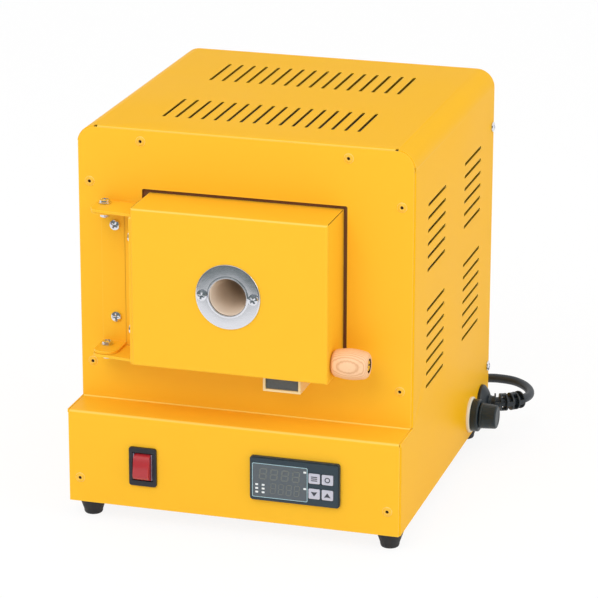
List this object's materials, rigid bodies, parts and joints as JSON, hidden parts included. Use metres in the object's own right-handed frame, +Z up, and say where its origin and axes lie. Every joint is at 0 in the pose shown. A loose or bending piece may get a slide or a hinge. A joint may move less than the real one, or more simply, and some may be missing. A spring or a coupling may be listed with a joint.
{
  "type": "electric furnace",
  "caption": "Bench muffle furnace in folded yellow sheet with slotted vents, a side-hung door with a sight hole, a rocker switch and a digital temperature controller.",
  "frame": {"origin": "middle of the furnace's bounding box, without its mains lead, at bench level under the feet", "axes": "+X across the front to the right, -Y out of the front with the door, +Z up"},
  "size_m": [0.3119, 0.4323, 0.312],
  "materials": {
    "paint": "satin",
    "rivet_paint": "satin",
    "catch_paint": "satin",
    "zinc_plate": "satin",
    "inner_steel": "matte",
    "foot_rubber": "matte",
    "fibre_board": "matte",
    "dark_board": "matte",
    "refractory": "matte",
    "element_wire": "matte",
    "beech": "satin",
    "ferrite": "matte",
    "switch_plastic": "satin",
    "rocker_red": "gloss",
    "controller_plastic": "satin",
    "display": "gloss",
    "key_grey": "satin",
    "relay_plastic": "matte",
    "cream_plastic": "satin",
    "bakelite": "satin",
    "fuse_glass": "gloss",
    "bushing_plastic": "satin",
    "cord_jacket": "satin",
    "tie_plastic": "satin",
    "plug_brass": "satin"
  },
  "bodies": {
    "case": {"outer_cover": "paint", "front_panel": "paint", "base_front": "paint", "rear_panel": "paint", "bottom_plate": "paint", "pop_rivets": "rivet_paint", "case_screws": "zinc_plate", "rubber_feet": "foot_rubber", "chamber_shell": "inner_steel", "chamber_supports": "inner_steel", "mouth_collar": "dark_board", "insulation_roof": "fibre_board", "insulation_floor": "fibre_board", "insulation_left": "fibre_board", "insulation_right": "fibre_board", "insulation_rear": "fibre_board", "heater_plate_left": "refractory", "heater_plate_right": "refractory", "heating_element_left": "element_wire", "heating_element_right": "element_wire", "hearth_plate": "refractory", "thermocouple": "refractory", "case_hinge_bracket": "paint", "hinge_bolts": "zinc_plate", "hinge_nuts": "zinc_plate", "catch_bracket": "catch_paint", "catch_magnet": "ferrite", "switch_housing": "switch_plastic", "controller_case": "controller_plastic", "controller_window": "display", "controller_clamp": "controller_plastic", "solid_state_relay": "relay_plastic", "terminal_block": "cream_plastic", "fuse_ring": "cream_plastic", "fuse_body": "bakelite", "cord_bushing": "bushing_plastic", "power_cord": "cord_jacket", "cord_coil": "cord_jacket", "cord_tie": "tie_plastic", "mains_plug": "bushing_plastic", "plug_blades": "plug_brass"},
    "door": {"door_pan": "paint", "door_insulation": "fibre_board", "door_back_frame": "inner_steel", "door_plug": "fibre_board", "sight_tube": "refractory", "sight_ring": "zinc_plate", "door_screws": "zinc_plate", "wooden_grip": "beech", "grip_bolt": "zinc_plate", "door_hinge_bracket": "paint"},
    "rocker": {"switch_rocker": "rocker_red"},
    "key_upper_left": {"key_upper_left": "key_grey"},
    "key_upper_right": {"key_upper_right": "key_grey"},
    "key_down": {"key_down": "key_grey"},
    "key_up": {"key_up": "key_grey"},
    "fuse_drawer": {"fuse_carrier": "bakelite", "fuse_link": "fuse_glass"},
    "fuse_knob": {"fuse_cap": "bakelite"}
  },
  "joints": [
    {"name": "door_swing", "type": "hinge", "parent": "case", "child": "door", "pos_m": [-0.12185, -0.11765, 0.195], "axis": [0, 0, -1], "range_deg": [0, 110]},
    {"name": "rocker_tilt", "type": "hinge", "parent": "case", "child": "rocker", "pos_m": [-0.08575, -0.14015, 0.0491], "axis": [1, 0, 0], "range_deg": [0, 18]},
    {"name": "key_upper_left_press", "type": "slide", "parent": "case", "child": "key_upper_left", "axis": [0, 1, 0], "range_m": [0, 0.0005], "stiffness_N_per_m": 200},
    {"name": "key_upper_right_press", "type": "slide", "parent": "case", "child": "key_upper_right", "axis": [0, 1, 0], "range_m": [0, 0.0005], "stiffness_N_per_m": 200},
    {"name": "key_down_press", "type": "slide", "parent": "case", "child": "key_down", "axis": [0, 1, 0], "range_m": [0, 0.0005], "stiffness_N_per_m": 200},
    {"name": "key_up_press", "type": "slide", "parent": "case", "child": "key_up", "axis": [0, 1, 0], "range_m": [0, 0.0005], "stiffness_N_per_m": 200},
    {"name": "fuse_draw", "type": "slide", "parent": "case", "child": "fuse_drawer", "axis": [1, 0, 0], "range_m": [0, 0.034]},
    {"name": "fuse_turn", "type": "hinge", "parent": "fuse_drawer", "child": "fuse_knob", "pos_m": [0.12165, 0.08885, 0.033], "axis": [1, 0, 0], "range_deg": [0, 90]}
  ]
}
